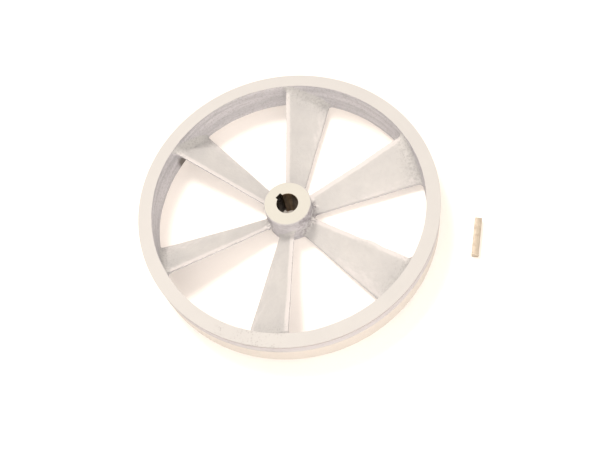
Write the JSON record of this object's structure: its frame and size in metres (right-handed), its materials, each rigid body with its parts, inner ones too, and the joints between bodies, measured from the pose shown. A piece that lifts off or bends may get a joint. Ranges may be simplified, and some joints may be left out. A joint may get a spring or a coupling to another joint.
{
  "type": "v belt pulley",
  "caption": "Spoked cast V belt pulley with a grooved rim, fan-blade arms and a keyed bore, with a set screw in its hub and its loose parallel key lying beside it.",
  "frame": {"origin": "on the bore's axis, level with the hub's back face, which is the face that the pulley lies on", "axes": "+Z along the bore towards the front face; +X close to the first arm, which runs out 0.6 degrees from it; the keyway is at 115.3 degrees"},
  "size_m": [0.3846, 0.3556, 0.0514],
  "materials": {
    "painted_casting": "warm light grey paint over sand-cast and turned iron, bare and oily in the bore",
    "key_steel": "bright steel bar tarnished brown, with light rust",
    "screw_steel": "black oxide"
  },
  "bodies": {
    "pulley": {"rim_front_flange": "painted_casting", "rim_groove_floor": "painted_casting", "rim_back_flange": "painted_casting", "hub": "painted_casting", "arm_1": "painted_casting", "arm_2": "painted_casting", "arm_3": "painted_casting", "arm_4": "painted_casting", "arm_5": "painted_casting", "arm_6": "painted_casting"},
    "loose_key": {"parallel_key": "key_steel"},
    "key_screw": {"set_screw": "screw_steel"}
  },
  "joints": [
    {"name": "key_lift", "type": "slide", "parent": "pulley", "child": "loose_key", "axis": [0, 0, 1], "range_m": [0, 0.1]},
    {"name": "set_screw_travel", "type": "slide", "parent": "pulley", "child": "key_screw", "axis": [0.4274, -0.9041, 0], "range_m": [-0.0121, 0.0032]}
  ]
}
